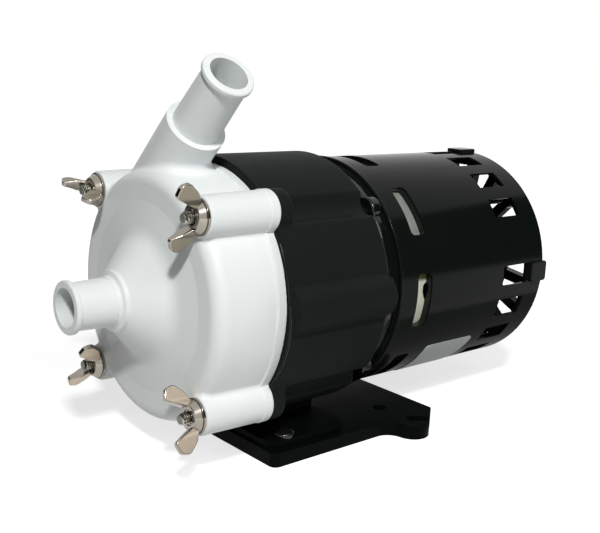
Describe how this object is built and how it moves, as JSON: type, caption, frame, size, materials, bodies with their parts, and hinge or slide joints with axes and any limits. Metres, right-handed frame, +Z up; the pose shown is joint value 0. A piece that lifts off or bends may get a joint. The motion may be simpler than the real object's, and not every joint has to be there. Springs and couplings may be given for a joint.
{
  "type": "magnetic drive pump",
  "caption": "Magnetic drive centrifugal pump: pale volute with hose spigots and wing-nut clamps, dark bracket, open slotted motor and slotted base plate.",
  "frame": {"origin": "centre of the base plate's underside, straight below the pump axis", "axes": "+X along the pump axis from the inlet towards the motor's rear, +Z up, so the inlet opens along -X"},
  "size_m": [0.2449, 0.1304, 0.1727],
  "materials": {
    "white_plastic": "satin moulded polypropylene",
    "seal_rubber": "moulded rubber",
    "ceramic": "ground ceramic",
    "carbon": "carbon-filled bearing",
    "ferrite": "sintered ferrite",
    "bright_steel": "turned steel",
    "black_gloss": "gloss black moulding",
    "black_satin": "satin black",
    "black_screw": "black oxide",
    "black_enamel": "gloss black enamel",
    "lamination": "stacked electrical steel",
    "winding_tape": "varnished cotton tape",
    "bronze": "sintered bronze",
    "nickel": "nickel-plated forging"
  },
  "bodies": {
    "pump": {"volute_casing": "white_plastic", "rear_housing": "white_plastic", "casing_o_ring": "seal_rubber", "pump_spindle": "ceramic", "front_thrust_washer": "ceramic", "rear_thrust_washer": "ceramic", "motor_bracket": "black_gloss", "bracket_screws": "bright_steel", "base_plate": "black_satin", "base_screws": "black_screw", "casing_studs": "bright_steel", "front_end_bell": "black_enamel", "motor_shell": "black_enamel", "stator_core": "lamination", "front_winding": "winding_tape", "winding_sleeve": "winding_tape", "rear_winding": "winding_tape", "front_sleeve_bearing": "bronze", "rear_sleeve_bearing": "bronze", "rear_end_bell": "black_enamel", "tie_bolts": "black_screw", "lead_grommet": "seal_rubber"},
    "motor_rotor": {"motor_shaft": "bright_steel", "rotor_core": "lamination", "drive_magnet_hub": "bright_steel", "drive_magnets": "ferrite", "hub_set_screw": "bright_steel"},
    "impeller_unit": {"impeller": "white_plastic", "impeller_bushing": "carbon", "inner_magnet": "ferrite"},
    "near_top_washer": {"wing_washer_near_top": "nickel"},
    "near_top_wing_nut": {"wing_nut_near_top": "nickel"},
    "far_top_washer": {"wing_washer_far_top": "nickel"},
    "far_top_wing_nut": {"wing_nut_far_top": "nickel"},
    "near_bottom_washer": {"wing_washer_near_bottom": "nickel"},
    "near_bottom_wing_nut": {"wing_nut_near_bottom": "nickel"},
    "far_bottom_washer": {"wing_washer_far_bottom": "nickel"},
    "far_bottom_wing_nut": {"wing_nut_far_bottom": "nickel"}
  },
  "joints": [
    {"name": "motor_shaft_spin", "type": "hinge", "parent": "pump", "child": "motor_rotor", "pos_m": [0, 0, 0.0705], "axis": [1, 0, 0], "continuous": true},
    {"name": "impeller_spin", "type": "hinge", "parent": "pump", "child": "impeller_unit", "pos_m": [0, 0, 0.0705], "axis": [1, 0, 0], "continuous": true},
    {"name": "near_top_washer_travel", "type": "slide", "parent": "pump", "child": "near_top_washer", "axis": [-1, 0, 0], "range_m": [0, 0.0032]},
    {"name": "near_top_wing_nut_turn", "type": "hinge", "parent": "near_top_washer", "child": "near_top_wing_nut", "pos_m": [-0.087, -0.0405, 0.111], "axis": [-1, 0, 0], "range_deg": [0, 1440]},
    {"name": "far_top_washer_travel", "type": "slide", "parent": "pump", "child": "far_top_washer", "axis": [-1, 0, 0], "range_m": [0, 0.0032]},
    {"name": "far_top_wing_nut_turn", "type": "hinge", "parent": "far_top_washer", "child": "far_top_wing_nut", "pos_m": [-0.087, 0.0405, 0.111], "axis": [-1, 0, 0], "range_deg": [0, 1440]},
    {"name": "near_bottom_washer_travel", "type": "slide", "parent": "pump", "child": "near_bottom_washer", "axis": [-1, 0, 0], "range_m": [0, 0.0032]},
    {"name": "near_bottom_wing_nut_turn", "type": "hinge", "parent": "near_bottom_washer", "child": "near_bottom_wing_nut", "pos_m": [-0.087, -0.0405, 0.03], "axis": [-1, 0, 0], "range_deg": [0, 1440]},
    {"name": "far_bottom_washer_travel", "type": "slide", "parent": "pump", "child": "far_bottom_washer", "axis": [-1, 0, 0], "range_m": [0, 0.0032]},
    {"name": "far_bottom_wing_nut_turn", "type": "hinge", "parent": "far_bottom_washer", "child": "far_bottom_wing_nut", "pos_m": [-0.087, 0.0405, 0.03], "axis": [-1, 0, 0], "range_deg": [0, 1440]}
  ],
  "couplings": [
    {"joint": "impeller_spin", "follows": "motor_shaft_spin", "ratio": 1},
    {"joint": "near_top_washer_travel", "follows": "near_top_wing_nut_turn", "m_per_rad": 0.00012732},
    {"joint": "far_top_washer_travel", "follows": "far_top_wing_nut_turn", "m_per_rad": 0.00012732},
    {"joint": "near_bottom_washer_travel", "follows": "near_bottom_wing_nut_turn", "m_per_rad": 0.00012732},
    {"joint": "far_bottom_washer_travel", "follows": "far_bottom_wing_nut_turn", "m_per_rad": 0.00012732}
  ]
}
